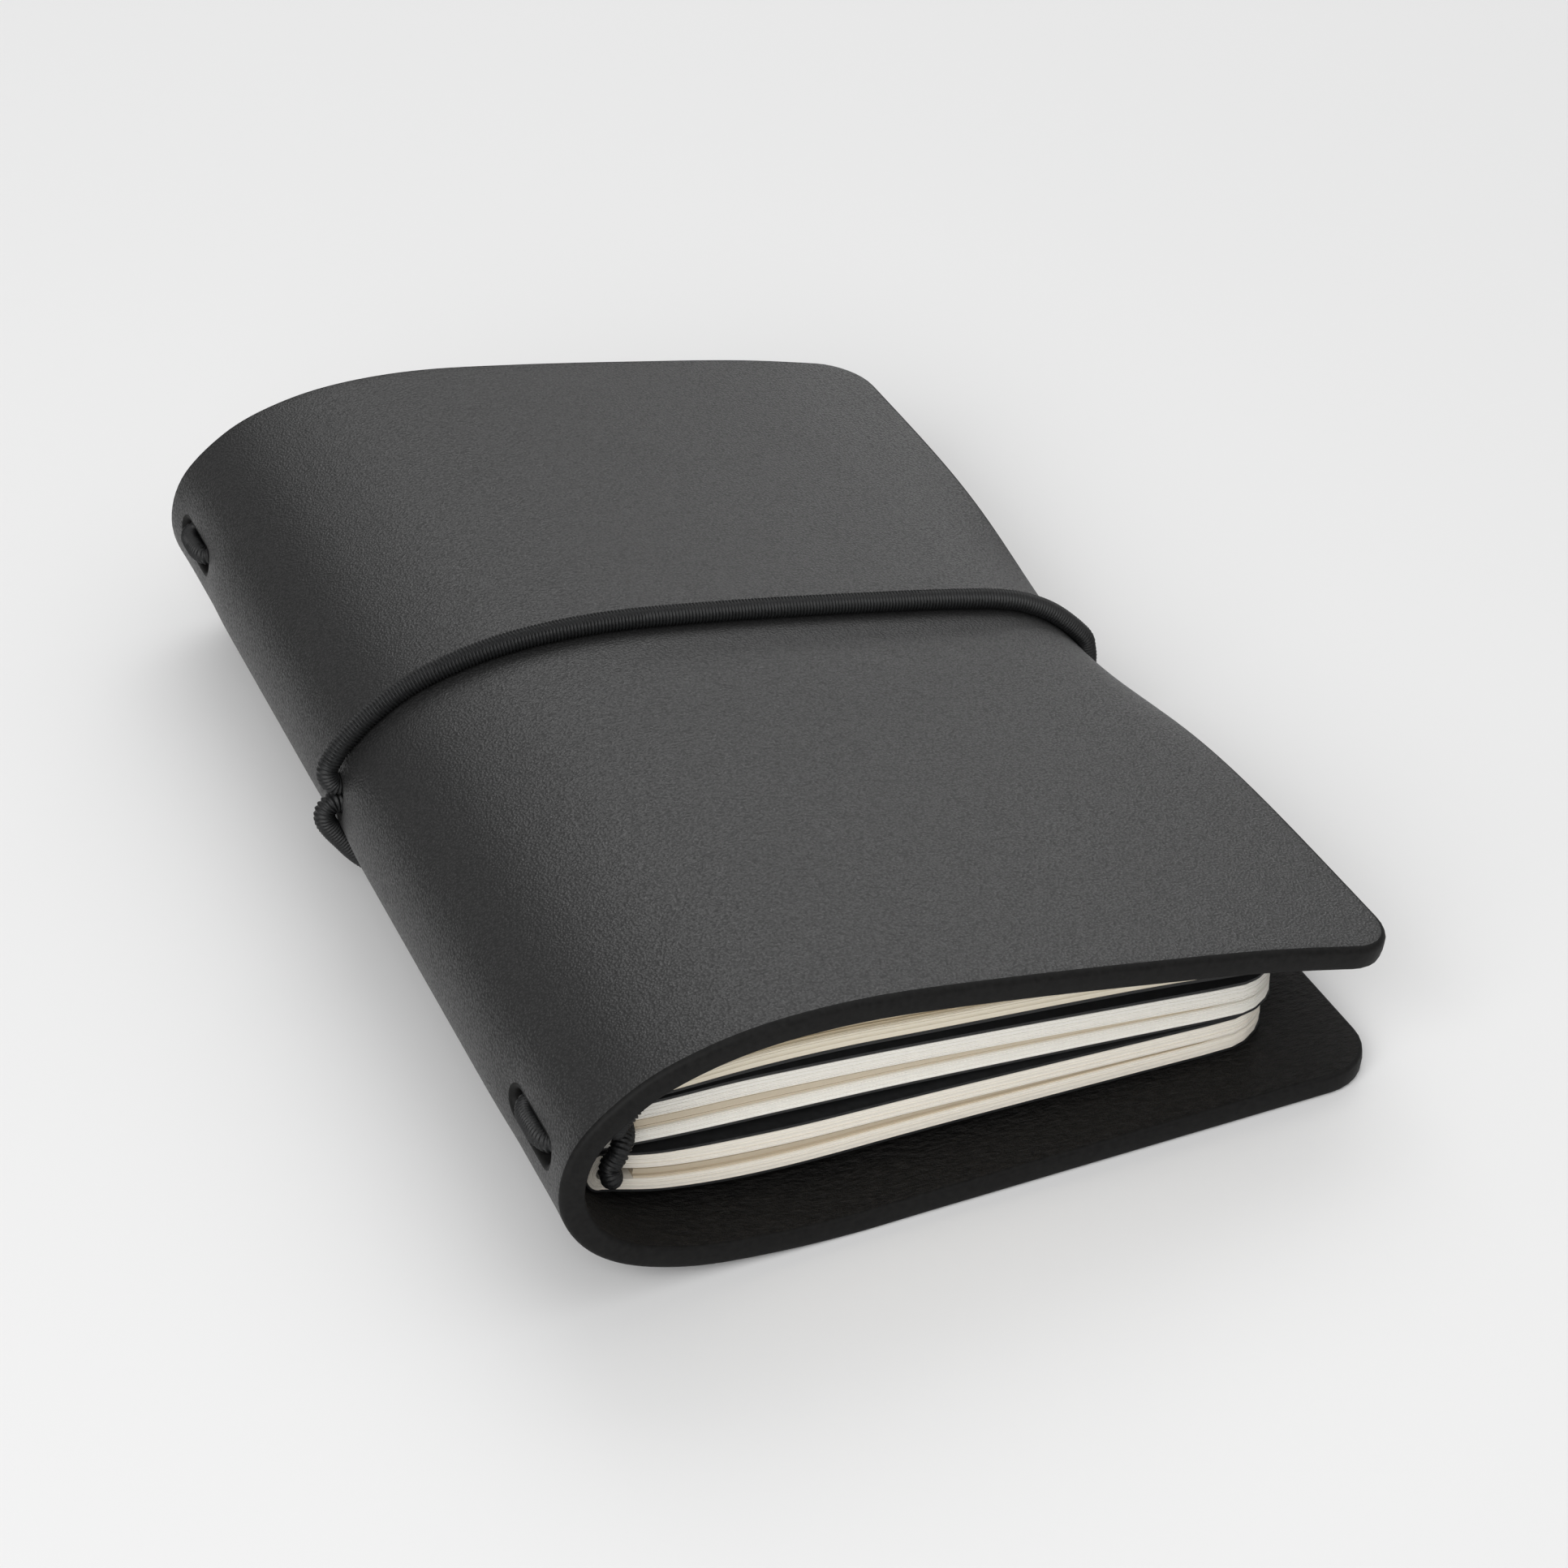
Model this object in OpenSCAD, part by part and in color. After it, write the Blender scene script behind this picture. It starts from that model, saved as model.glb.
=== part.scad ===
// Leather notebook cover holding three pocket booklets on elastic cords.
// X runs from the spine (-X) to the fore-edge (+X), Y along the spine, Z up.
// The origin is under the middle of the closed cover, on the surface it lies on.

/* [Cover] */
// Length of the cover along its spine
cover_length = 157.5; // [154:0.5:162]
// Thickness of the leather
leather = 3; // [2.6:0.1:3]
// Corner radius of the two panels at the fore-edge
panel_corner = 7; // [4:1:10]
// How far the closing band pulls the front panel's fore-edge down
pinch_depth = 5.5; // [4:0.5:5.5]
// Spread of that dip along the fore-edge
pinch_spread = 26; // [18:1:30]

/* [Slots and hole] */
// Length of each slot in the spine
slot_length = 12; // [12:0.5:15]
// Width of each slot
slot_width = 3.2; // [3:0.1:4.5]
// Distance of each slot's middle from the middle of the spine
slot_offset = 67.5; // [64:0.5:69]
// Diameter of the closing band's hole
band_hole_d = 5.4; // [5.3:0.1:6]

/* [Booklets] */
// Length of a booklet along its fold
booklet_length = 140; // [130:1:142]
// Corner radius of the booklets at the fore-edge
booklet_corner = 9; // [5:1:12]
// Thickness of the pages above a booklet's middle opening
front_pages_t = 1.8; // [1.4:0.1:1.8]
// Thickness of the pages below a booklet's middle opening
back_pages_t = 1.5; // [1.2:0.1:1.5]
// Thickness of the card wrapper
card_t = 0.3; // [0.2:0.05:0.3]

/* [Cords] */
// Diameter of the closing band
band_d = 2.6; // [2:0.1:2.6]
// Where the closing band crosses the cover, from the middle of the spine
band_y = 3; // [-4:0.5:4]
// Diameter of the retaining elastic where it is slack
elastic_d = 2.4; // [2:0.1:2.4]
// Diameter of the retaining elastic stretched inside a fold
strand_d = 1.2; // [1:0.1:1.2]

/* [Hidden] */

// Outer face of the closed leather, [x, z], from the flat underside round the spine
// to the front panel's fore-edge. The hinge lines are two of its points.
outline = [
  [-8, 0], [-18, 0], [-28, 0.7], [-37.5, 2.3], [-45.6, 5.7], [-50.6, 10.8], [-52.5, 17.4],
  [-50.2, 24], [-43.6, 29.5], [-36.2, 32.4], [-27, 33.8], [-15, 33.5], [0, 31.3],
  [18, 28], [36, 24.3], [54, 19.5]
];
lower_hinge = 4;
upper_hinge = 8;
fore_edge = len(outline) - 1;
back_edge_x = 52.5;
steps = 6;
hinge_cut = 0.022;
pinch_start = 38;

// Booklets: fold x, fore-edge x, [x, height] of the middle opening and its width there.
opening_x = [-36, -22, 0];
fold_x = [-41, -44.5, -44.5];
edge_x = [47, 45, 44];
opening_z = [
  [23.25, 23.35, 23.65, 21.35, 13.85],
  [17.7, 16.9, 16, 14.2, 9.65],
  [11.75, 9.3, 7.7, 7, 5.25]
];
opening_gap = [1.6, 1.65, 1.6, 1.1, 0.2];
sheet_gap = 0.04;
// Places of the elastic and the stitches along the opening line, from the fold
strand_place = 0.16;
stitch_place = 0.38;

// Cords
cord_sides = 8;
band_gap = 0.12;
flat_band_t = 2;
flat_band_w = 3;
channel_t = 2.1;
channel_w = 3.4;
hole_z = 18.5;
slot_z = 19.3;
knot_d = 4.4;
knot_x = -47.1;
bridge_y = 72.6;
big = 400;

// ---- curves ----
function before(p, i) = i == 0 ? 2 * p[0] - p[1] : p[i - 1];
function after(p, i) = i >= len(p) ? 2 * p[len(p) - 1] - p[len(p) - 2] : p[i];
function spline_part(a, b, c, d, t) =
  0.5 * (2 * b + (c - a) * t + (2 * a - 5 * b + 4 * c - d) * t * t + (3 * b - a - 3 * c + d) * t * t * t);
// Point at place u along a list of points, where whole numbers are the points themselves
function along(p, u) =
  let (i = max(0, min(floor(u), len(p) - 2)))
  spline_part(before(p, i), p[i], p[i + 1], after(p, i + 2), u - i);
function slope(p, u) = along(p, u + 0.02) - along(p, u - 0.02);
function unit(v) = v / norm(v);
// Unit normal of the outline, pointing into the cover
function inward(u) = let (d = unit(slope(outline, u))) [d[1], -d[0]];
function span(a, b) = let (n = ceil((b - a) * steps)) [for (k = [0:n]) a + (b - a) * k / n];
function flip(list) = [for (k = [len(list) - 1:-1:0]) list[k]];

// ---- leather ----
function outer_face(a, b) = [for (u = span(a, b)) along(outline, u)];
function inner_face(a, b) = [for (u = span(a, b)) along(outline, u) + leather * inward(u)];
// How far the band pulls a point of the front panel down
function dip(x, y) =
  let (t = max(0, x - pinch_start) / (outline[fore_edge][0] - pinch_start))
  pinch_depth * pow(t, 2.5) * exp(-pow((y - band_y) / pinch_spread, 2));
// Half the panel's length at x, which shrinks round the corners
function half_length(x, edge) =
  let (into = max(0, x - (edge - panel_corner)))
  cover_length / 2 - panel_corner + sqrt(max(0, panel_corner * panel_corner - into * into));

module along_spine(length, points) {
  rotate([90, 0, 0])
    linear_extrude(height = length, center = true)
      polygon(points);
}

// Plan shape with its two fore-edge corners rounded
module plan(length, edge, r) {
  linear_extrude(height = big, center = true) {
    translate([edge - big, -length / 2])
      square([big - r, length]);
    translate([edge - 2 * r, -length / 2 + r])
      square([2 * r, length - 2 * r]);
    for (side = [-1, 1])
      translate([edge - r, side * (length / 2 - r)])
        circle(r = r, $fn = 48);
  }
}

module leather_back_panel() {
  outer = concat([[back_edge_x, 0]], outer_face(0, lower_hinge - hinge_cut));
  inner = concat([[back_edge_x, leather]], inner_face(0, lower_hinge - hinge_cut));
  color("#2c2b2b")
    difference() {
      intersection() {
        along_spine(cover_length, concat(outer, flip(inner)));
        plan(cover_length, back_edge_x, panel_corner);
      }
      // The channel that the taut band has pressed into the underside
      translate([-back_edge_x, band_y - channel_w / 2, -1])
        cube([3 * back_edge_x, channel_w, 1 + channel_t]);
    }
}

module slot_cutter() {
  reach = (slot_length - slot_width) / 2;
  for (end = [-1, 1])
    translate([0, end * reach, 0])
      rotate([0, 90, 0])
        cylinder(d = slot_width, h = 20, center = true, $fn = 48);
  cube([20, 2 * reach, slot_width], center = true);
}

module leather_spine() {
  from = lower_hinge + hinge_cut;
  to = upper_hinge - hinge_cut;
  color("#2c2b2b")
    difference() {
      along_spine(cover_length, concat(outer_face(from, to), flip(inner_face(from, to))));
      for (side = [-1, 1])
        translate([-52, side * slot_offset, slot_z])
          slot_cutter();
      translate([-52, band_y, hole_z])
        rotate([0, 90, 0])
          cylinder(d = band_hole_d, h = 20, center = true, $fn = 64);
    }
}

// The front panel is one sheet of rows along the outline and columns along Y
module leather_front_panel() {
  rows = span(upper_hinge + hinge_cut, fore_edge);
  columns = 28;
  wide = columns + 1;
  count = len(rows) * wide;
  function sheet_point(u, k, depth) =
    let (base = along(outline, u))
    let (p = base + depth * inward(u))
    let (y = (2 * k / columns - 1) * half_length(base[0], outline[fore_edge][0]))
    [p[0], y, p[1] - dip(base[0], y)];
  outer = [for (u = rows) for (k = [0:columns]) sheet_point(u, k, 0)];
  inner = [for (u = rows) for (k = [0:columns]) sheet_point(u, k, leather)];
  function quad(a, b, c, d) = [[a, b, c], [a, c, d]];
  outer_skin = [
    for (i = [0:len(rows) - 2]) for (k = [0:columns - 1])
      each quad(i * wide + k, i * wide + k + 1, (i + 1) * wide + k + 1, (i + 1) * wide + k)
  ];
  inner_skin = [for (f = outer_skin) [f[2] + count, f[1] + count, f[0] + count]];
  rim = concat(
    [for (k = [0:columns]) k],
    [for (i = [1:len(rows) - 1]) i * wide + columns],
    [for (k = [columns - 1:-1:0]) (len(rows) - 1) * wide + k],
    [for (i = [len(rows) - 2:-1:1]) i * wide]
  );
  edge_skin = [
    for (j = [0:len(rim) - 1])
      let (a = rim[j], b = rim[(j + 1) % len(rim)])
      each quad(b, a, a + count, b + count)
  ];
  color("#2f2e2e")
    polyhedron(concat(outer, inner), concat(outer_skin, inner_skin, edge_skin));
}

// ---- booklets ----
function opening_line(n) =
  let (x = concat([fold_x[n]], opening_x, [edge_x[n]]))
  [for (i = [0:4]) [x[i], opening_z[n][i], opening_gap[i] / 2]];
// Edge line of a layer: side is 1 above the opening and -1 below it
function layer_line(n, side, offset) =
  [for (u = span(0, 4)) let (p = along(opening_line(n), u)) [p[0], p[1] + side * (p[2] + offset)]];

module layer(n, side, from, thickness) {
  intersection() {
    along_spine(
      booklet_length,
      concat(layer_line(n, side, from), flip(layer_line(n, side, from + thickness)))
    );
    plan(booklet_length, edge_x[n], booklet_corner);
  }
}
module front_pages(n) {
  color("#e9e1cd") layer(n, 1, 0, front_pages_t);
}
module back_pages(n) {
  color("#e6dcc4") layer(n, -1, 0, back_pages_t);
}
module front_card(n) {
  color("#1b1b1c") layer(n, 1, front_pages_t + sheet_gap, card_t);
}
module back_card(n) {
  color("#1b1b1c") layer(n, -1, back_pages_t + sheet_gap, card_t);
}
// A row of separate stitches along the fold
module stitching(n) {
  stitch = 6;
  pitch = 9;
  count = 14;
  thread_d = 0.4;
  place = along(opening_line(n), stitch_place);
  color("#d8d0bd")
    for (k = [0:count - 1])
      translate([place[0], (k - (count - 1) / 2) * pitch, place[1]])
        rotate([90, 0, 0])
          cylinder(d = thread_d, h = stitch, center = true, $fn = 16);
}
// The stretch of retaining elastic that lies in the booklet's middle opening
module fold_elastic(n) {
  place = along(opening_line(n), strand_place);
  color("#161616")
    translate([place[0], 0, place[1]])
      rotate([90, 0, 0])
        cylinder(d = strand_d, h = booklet_length + 3, center = true, $fn = 24);
}

// ---- cords ----
// Tube along flat points p, whose plane has the normal across.
// half is each ring's [half thickness in the plane, half width across it].
module cord(p, across, half) {
  last = len(p) - 1;
  function heading(i) = unit(p[min(i + 1, last)] - p[max(i - 1, 0)]);
  rings = [
    for (i = [0:last]) let (side = cross(heading(i), across))
      for (k = [0:cord_sides - 1]) let (a = 360 * k / cord_sides)
        p[i] + side * half[i][0] * cos(a) + across * half[i][1] * sin(a)
  ];
  skin = [
    for (i = [0:last - 1]) for (k = [0:cord_sides - 1])
      let (n = (k + 1) % cord_sides)
      each [
        [i * cord_sides + k, (i + 1) * cord_sides + n, (i + 1) * cord_sides + k],
        [i * cord_sides + k, i * cord_sides + n, (i + 1) * cord_sides + n]
      ]
  ];
  start = [[for (k = [cord_sides - 1:-1:0]) k]];
  end = [[for (k = [0:cord_sides - 1]) last * cord_sides + k]];
  polyhedron(rings, concat(skin, start, end));
}

// The outer face at place u under the band, dip included
function dipped(u) = let (p = along(outline, u)) p - [0, dip(p[0], band_y)];
// Centre of the band where it lies on that face
function on_face(u) =
  let (d = unit(dipped(u + 0.02) - dipped(u - 0.02)))
  dipped(u) - (band_d / 2 + band_gap) * [d[1], -d[0]];

module closing_band() {
  under_z = 0.05 + flat_band_t / 2;
  strand = band_d / 2 + 0.02;
  from_hole = [[-49.4, hole_z + strand], [-53.2, hole_z + strand], [-54.2, 21.3], [-52.7, 24]];
  over = [for (u = span(7.2, fore_edge)) on_face(u)];
  round_edge = [[56.2, 13.2], [56.3, 9.6], [56, 6], [55.5, 3], [54.3, 1.45]];
  under = [for (x = [52.9, 49, 20, -10, -28, -35]) [x, under_z]];
  to_hole = [[-39.2, 1.3], [-43.4, 2.7], [-47.7, 5], [-50.8, 7.9], [-53.2, 12], [-54.1, 15.3],
             [-53.6, 17], [-52.2, hole_z - strand], [-49.4, hole_z - strand]];
  points = concat(from_hole, over, round_edge, under, to_hole);
  round_half = [band_d / 2, band_d / 2];
  flat_half = [flat_band_t / 2, flat_band_w / 2];
  flat_below = 1.7;
  color("#161616")
    cord(
      [for (q = points) [q[0], band_y, q[1]]],
      [0, 1, 0],
      [for (q = points) q[1] < flat_below ? flat_half : round_half]
    );
}
module closing_band_knot() {
  color("#161616")
    translate([knot_x, band_y, hole_z])
      rotate([0, 90, 0])
        cylinder(d = knot_d, h = 4.2, center = true, $fn = 32);
}

// Retaining elastic outside the spine: out of one end of the slot and back in at the other
module elastic_run(side) {
  reach = slot_length / 2 - 2.1;
  path = [[-48.7, -reach], [-51.2, -reach + 0.3], [-52.5, -reach + 2], [-52.5, reach - 2],
          [-51.2, reach - 0.3], [-48.7, reach]];
  r = elastic_d / 2;
  color("#161616")
    cord(
      [for (q = path) [q[0], side * slot_offset + q[1], slot_z]],
      [0, 0, 1],
      [for (q = path) [r, r]]
    );
}
// Retaining elastic inside: down over the ends of the booklets' folds
module elastic_bridge(side) {
  path = [[-41.6, 24.6], [-44.4, 23], [-46.6, 20.4], [-47.3, 17], [-46.6, 13.8], [-44.6, 11.2]];
  r = elastic_d / 2;
  color("#161616")
    cord(
      [for (q = path) [q[0], side * (bridge_y + r), q[1]]],
      [0, 1, 0],
      [for (q = path) [r, r]]
    );
}
module elastic_near_run() {
  elastic_run(-1);
}
module elastic_far_run() {
  elastic_run(1);
}
module elastic_near_bridge() {
  elastic_bridge(-1);
}
module elastic_far_bridge() {
  elastic_bridge(1);
}

leather_back_panel();
leather_spine();
leather_front_panel();
closing_band();
closing_band_knot();
elastic_near_run();
elastic_far_run();
elastic_near_bridge();
elastic_far_bridge();
front_card(0);  // booklet_1_front_card
front_pages(0);  // booklet_1_front_pages
back_pages(0);  // booklet_1_back_pages
back_card(0);  // booklet_1_back_card
stitching(0);  // booklet_1_stitching
fold_elastic(0);  // booklet_1_elastic
front_card(1);  // booklet_2_front_card
front_pages(1);  // booklet_2_front_pages
back_pages(1);  // booklet_2_back_pages
back_card(1);  // booklet_2_back_card
stitching(1);  // booklet_2_stitching
fold_elastic(1);  // booklet_2_elastic
front_card(2);  // booklet_3_front_card
front_pages(2);  // booklet_3_front_pages
back_pages(2);  // booklet_3_back_pages
back_card(2);  // booklet_3_back_card
stitching(2);  // booklet_3_stitching
fold_elastic(2);  // booklet_3_elastic
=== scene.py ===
"""Looks of the leather notebook cover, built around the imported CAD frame.

Lengths below are in millimetres and become metres where a mesh is made.
X runs from the spine (-X) to the fore-edge (+X), Y along the spine, Z up.
"""
import math

import bmesh
import bpy
import numpy as np
from mathutils import Matrix, Vector
from mathutils.geometry import delaunay_2d_cdt


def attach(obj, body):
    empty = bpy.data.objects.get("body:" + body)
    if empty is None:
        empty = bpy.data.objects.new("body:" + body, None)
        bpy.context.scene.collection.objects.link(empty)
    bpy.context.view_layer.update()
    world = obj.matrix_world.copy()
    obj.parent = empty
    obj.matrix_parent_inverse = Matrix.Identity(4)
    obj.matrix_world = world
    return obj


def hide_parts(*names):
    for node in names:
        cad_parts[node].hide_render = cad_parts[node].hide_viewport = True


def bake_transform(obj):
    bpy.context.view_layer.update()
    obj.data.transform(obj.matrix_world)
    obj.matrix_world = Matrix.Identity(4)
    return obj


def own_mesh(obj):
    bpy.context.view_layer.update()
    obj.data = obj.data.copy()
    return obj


MM = 0.001

# ---- the leather sheet, as in the CAD ----
COVER_LENGTH = 157.5
LEATHER = 3.0
PANEL_CORNER = 7.0
PINCH_START = 38.0
PINCH_DEPTH = 5.5
PINCH_SPREAD = 26.0
PINCH_POWER = 2.5
# Outer face [x, z], from the back panel's fore-edge round the spine to the front panel's
OUTLINE = [
    (52.5, 0), (27, 0), (2, 0), (-8, 0), (-18, 0), (-28, 0.7), (-37.5, 2.3), (-45.6, 5.7),
    (-50.6, 10.8), (-52.5, 17.4), (-50.2, 24), (-43.6, 29.5), (-36.2, 32.4), (-27, 33.8),
    (-15, 33.5), (0, 31.3), (18, 28), (36, 24.3), (54, 19.5),
]
SPINE_POINTS = (7, 11)  # the hinges' points on OUTLINE
FRONT_EDGE_X = OUTLINE[-1][0]
SLOT_LENGTH = 12.0
SLOT_WIDTH = 3.2
SLOT_OFFSET = 67.5
SLOT_Z = 19.3
HOLE_D = 5.4
HOLE_Z = 18.5
CHANNEL_DEPTH = 2.1
CHANNEL_HALF = 1.7

# ---- the leather sheet, only here ----
SEAM_AT = 8.5  # place along OUTLINE where the two halves of the leather meet
PINCH_PULL = 0.2  # how far the dipped fore-edge is drawn in, for each millimetre it goes down
OUTER_ROUND = 0.75
INNER_ROUND = 0.5
EDGE_CROWN = 0.06  # how far the cut edge stands proud at its middle
SLOT_SINK = 0.7  # how far the leather sinks in beside a slot or the hole
SLOT_SINK_REACH = 5.5
WAVE = 0.1  # height of the slow waves in the front panel
CHANNEL_FADE = 1.5  # width of the channel's soft sides

# ---- the booklets, as in the CAD ----
BOOKLET_LENGTH = 140.0
BOOKLET_CORNER = 9.0
OPENING_X = (-36, -22, 0)
FOLD_X = (-41, -44.5, -44.5)
EDGE_X = (47, 45, 44)
OPENING_Z = (
    (23.25, 23.35, 23.65, 21.35, 13.85),
    (17.7, 16.9, 16, 14.2, 9.65),
    (11.75, 9.3, 7.7, 7, 5.25),
)
OPENING_GAP = (1.6, 1.65, 1.6, 1.1, 0.2)
FRONT_PAGES = 1.8
BACK_PAGES = 1.5
CARD = 0.3
SHEET_GAP = 0.04
STRAND_PLACE = 0.16  # places of the elastic and the stitches along the opening line
STITCH_PLACE = 0.38

# ---- the booklets, only here ----
FRONT_SWELL = (1.0, 1.26, 1.2)  # how much thicker each booklet's pages are away from the fold
BACK_SWELL = (1.35, 1.1, 1.12)
SWELL_REACH = 18
FRONT_LEAVES = 18
BACK_LEAVES = 15
FOLD_ROUNDNESS = 0.7
OPENING_STEPS = 8  # curve steps between two points of the opening line
# The middle leaves are tan sheets standing in each opening: painted shade of its inside.
MIDDLE_LEAVES = 5  # leaves that stand in each middle opening
MIDDLE_START = 4  # curve steps along the opening at which they start
MIDDLE_INSET = 0.35  # how far their ends stay behind the other leaves
END_RISE = 1.7  # how far booklet 1's near and far ends rise
STITCHES = 14
STITCH_PITCH = 9.0

# ---- the cords, as in the CAD ----
BAND_D = 2.6
BAND_Y = 3.0
ELASTIC_D = 2.4
STRAND_D = 1.2
FLAT_BAND = (2.0, 3.0)

# ---- the cords, only here ----
BAND_PRESS = 0.06  # how far the taut band sinks into the leather
GROOVE = 0.9  # and how far under the spine, where it pulls hardest
FLAT_BELOW = 1.7  # height below which the band is pressed flat
THREAD_D = 0.4
KNOT_CORD_D = 1.9
RIB_PITCH = 0.46
RIB_HEIGHT = 0.26


# ---------------------------------------------------------------- curves
def catmull(points, steps):
    """Points of a uniform Catmull-Rom curve through the given points."""
    p = np.array(points, float)
    p = np.vstack([2 * p[0] - p[1], p, 2 * p[-1] - p[-2]])
    t = (np.arange(steps) / steps)[:, None]
    parts = []
    for i in range(len(p) - 3):
        a, b, c, d = p[i:i + 4]
        parts.append(0.5 * (2 * b + (c - a) * t + (2 * a - 5 * b + 4 * c - d) * t**2
                            + (3 * b - a - 3 * c + d) * t**3))
    return np.vstack(parts + [p[-2:-1]])


def arc_lengths(points):
    """Distance along a line of points, at each point."""
    return np.concatenate([[0], np.cumsum(np.linalg.norm(np.diff(points, axis=0), axis=1))])


def smooth(t):
    """Goes from 0 to 1 with soft ends."""
    t = np.clip(t, 0, 1)
    return t * t * (3 - 2 * t)


CURVE_STEPS = 60
PROFILE = catmull(OUTLINE, CURVE_STEPS)
PROFILE_S = arc_lengths(PROFILE)
PROFILE_T = np.gradient(PROFILE, PROFILE_S, axis=0)
PROFILE_T /= np.linalg.norm(PROFILE_T, axis=1)[:, None]
PROFILE_N = np.column_stack([PROFILE_T[:, 1], -PROFILE_T[:, 0]])  # points into the cover
SEAM_S = PROFILE_S[int(SEAM_AT * CURVE_STEPS)]


def place_at_height(z):
    """Arc length at which the spine's outer face passes a height."""
    spine = slice(SPINE_POINTS[0] * CURVE_STEPS, SPINE_POINTS[1] * CURVE_STEPS)
    return float(np.interp(z, PROFILE[spine, 1], PROFILE_S[spine]))


def dip(x, y):
    """How far the closing band pulls the front panel's fore-edge down."""
    t = np.clip(x - PINCH_START, 0, None) / (FRONT_EDGE_X - PINCH_START)
    return PINCH_DEPTH * t**PINCH_POWER * np.exp(-((y - BAND_Y) / PINCH_SPREAD) ** 2)


def groove(z):
    """How deep the band lies in the leather at a height on the spine's lower side."""
    top, fade = 16.5, 6
    return GROOVE * smooth((top - z) / fade)


def shrink_round_corners(x, edge, length, radius):
    """Half length of a rounded sheet at x."""
    into = np.clip(x - (edge - radius), 0, radius)
    return length / 2 - radius + np.sqrt(radius**2 - into**2)


# ---------------------------------------------------------------- meshes and pieces
def new_object(name, vertices, faces, sharp_angle):
    """A mesh object with its faces turned outward, sharp where they meet past an angle in degrees."""
    mesh = bpy.data.meshes.new(name)
    mesh.from_pydata((np.asarray(vertices) * MM).tolist(), [], faces)
    bm = bmesh.new()
    bm.from_mesh(mesh)
    bmesh.ops.recalc_face_normals(bm, faces=bm.faces)
    bm.to_mesh(mesh)
    bm.free()
    mesh.shade_smooth()
    mesh.set_sharp_from_angle(angle=math.radians(sharp_angle))
    piece = bpy.data.objects.new(name, mesh)
    bpy.context.scene.collection.objects.link(piece)
    return piece


def finish_piece(piece, body, materials, nodes):
    """Gives a piece its materials, replaced CAD nodes and, when one is given, its body."""
    for material in materials:
        piece.data.materials.append(material)
    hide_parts(*nodes)
    if body:
        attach(piece, body)
    return piece


# ---------------------------------------------------------------- leather
def slot_loops():
    """Slots and band hole as (centre a, centre y, half reach along y, radius), a from the seam."""
    slot_a = place_at_height(SLOT_Z) - SEAM_S
    hole_a = place_at_height(HOLE_Z) - SEAM_S
    reach = (SLOT_LENGTH - SLOT_WIDTH) / 2
    return [
        (slot_a, -SLOT_OFFSET, reach, SLOT_WIDTH / 2),
        (slot_a, SLOT_OFFSET, reach, SLOT_WIDTH / 2),
        (hole_a, BAND_Y, 0.0, HOLE_D / 2),
    ]


def stadium(shape, out):
    """Closed loop round a slot, out millimetres outside its edge."""
    a, y, reach, radius = shape
    points = []
    for end, first in ((1, 0), (-1, 180)):
        for degrees in np.linspace(first, first + 180, 11)[: 11 if reach else 10]:
            angle = math.radians(degrees)
            points.append((a + (radius + out) * math.cos(angle),
                           y + end * reach + (radius + out) * math.sin(angle)))
        if reach:
            side = points[-1][0]
            points += [(side, y + end * reach * k) for k in (0.6, 0.2, -0.2, -0.6)]
    return np.array(points)


def outside(points, shape, out):
    """Which points lie more than out millimetres beyond a slot's edge."""
    a, y, reach, radius = shape
    across = np.clip(np.abs(points[:, 1] - y) - reach, 0, None)
    return np.hypot(points[:, 0] - a, across) > radius + out


def panel_edge(rows, columns, reach, inset):
    """Open loop from the seam round the fore-edge and back to the seam."""
    half = COVER_LENGTH / 2
    corner = np.radians(np.linspace(-90, 0, 9))
    side_rows = rows[rows <= reach - PANEL_CORNER - 0.5]
    middle = columns[np.abs(columns) < half - PANEL_CORNER - 0.5]
    near = [(a, -half + inset) for a in side_rows]
    turn = [(reach - PANEL_CORNER + (PANEL_CORNER - inset) * math.cos(c),
             -half + PANEL_CORNER + (PANEL_CORNER - inset) * math.sin(c)) for c in corner]
    fore = [(reach - inset, y) for y in middle]
    far_turn = [(a, -y) for a, y in reversed(turn)]
    far = [(a, -y) for a, y in reversed(near)]
    return np.array(near + turn + fore + far_turn + far)


def edge_profile():
    """(inset, depth) of the rings from the outer face over the cut edge to the inner face."""
    rings = []
    for angle in np.radians((0, 22, 45, 68, 90)):
        rings.append((OUTER_ROUND * (1 - math.sin(angle)), OUTER_ROUND * (1 - math.cos(angle))))
    rings.append((-EDGE_CROWN, LEATHER / 2))
    for angle in np.radians((90, 60, 30, 0)):
        depth = LEATHER - INNER_ROUND * (1 - math.cos(angle))
        rings.append((INNER_ROUND * (1 - math.sin(angle)), depth))
    return rings


def leather_surface(a, y, depth, direction):
    """Points of the leather: a from the seam, direction 1 for the front half, -1 for the back half."""
    a, y, depth = (np.asarray(v, float) for v in (a, y, depth))
    s = SEAM_S + direction * a
    x = np.interp(s, PROFILE_S, PROFILE[:, 0])
    z = np.interp(s, PROFILE_S, PROFILE[:, 1])
    nx = np.interp(s, PROFILE_S, PROFILE_N[:, 0])
    nz = np.interp(s, PROFILE_S, PROFILE_N[:, 1])
    into = depth.copy()
    for slot_a, slot_y, reach, _ in slot_loops():
        away = np.hypot(direction * a - slot_a, np.clip(np.abs(y - slot_y) - reach, 0, None))
        into = into + SLOT_SINK * np.exp(-(away / SLOT_SINK_REACH) ** 2)
    into = into + WAVE * np.sin(s / 19 + 1.3) * np.sin(y / 23 + 0.7) * smooth((s - SEAM_S) / 30)
    if direction < 0:
        into = into + band_channel(x, y, z) * (1 - depth / LEATHER)
        pinch = 0
    else:
        pinch = dip(x, y)
    return np.column_stack([x + nx * into - PINCH_PULL * pinch, y, z + nz * into - pinch])


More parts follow.
